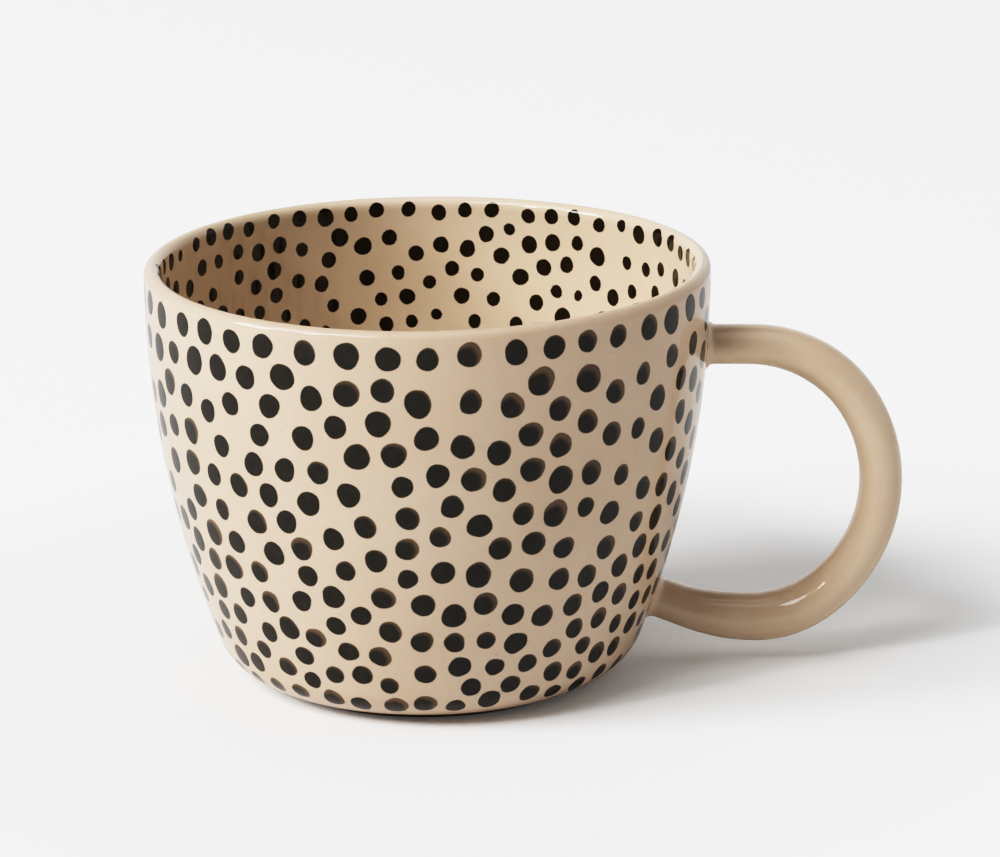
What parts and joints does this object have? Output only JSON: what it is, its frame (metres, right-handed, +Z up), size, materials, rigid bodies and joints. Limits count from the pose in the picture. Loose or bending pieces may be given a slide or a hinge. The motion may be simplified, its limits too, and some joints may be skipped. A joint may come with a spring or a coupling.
{
  "type": "mug",
  "caption": "Wide hand-thrown stoneware mug on a small foot ring, with a round-bar C handle and a glossy cream glaze over hand-painted dots, inside and out.",
  "frame": {"origin": "centre of the foot ring's resting plane, on the cup's axis", "axes": "+Z up along the cup's axis, +X from the axis towards the handle, +Y away from a viewer who has the handle on the right"},
  "size_m": [0.1351, 0.1, 0.0755],
  "materials": {
    "clay": "matte",
    "slip": "matte",
    "outer_glaze": "gloss",
    "inner_glaze": "gloss",
    "handle_glaze": "gloss"
  },
  "bodies": {
    "root": {"cup_body": "clay", "handle": "clay", "upper_slip_joint": "slip", "lower_slip_joint": "slip", "outer_glaze": "outer_glaze", "inner_glaze": "inner_glaze", "handle_glaze": "handle_glaze"}
  },
  "joints": []
}
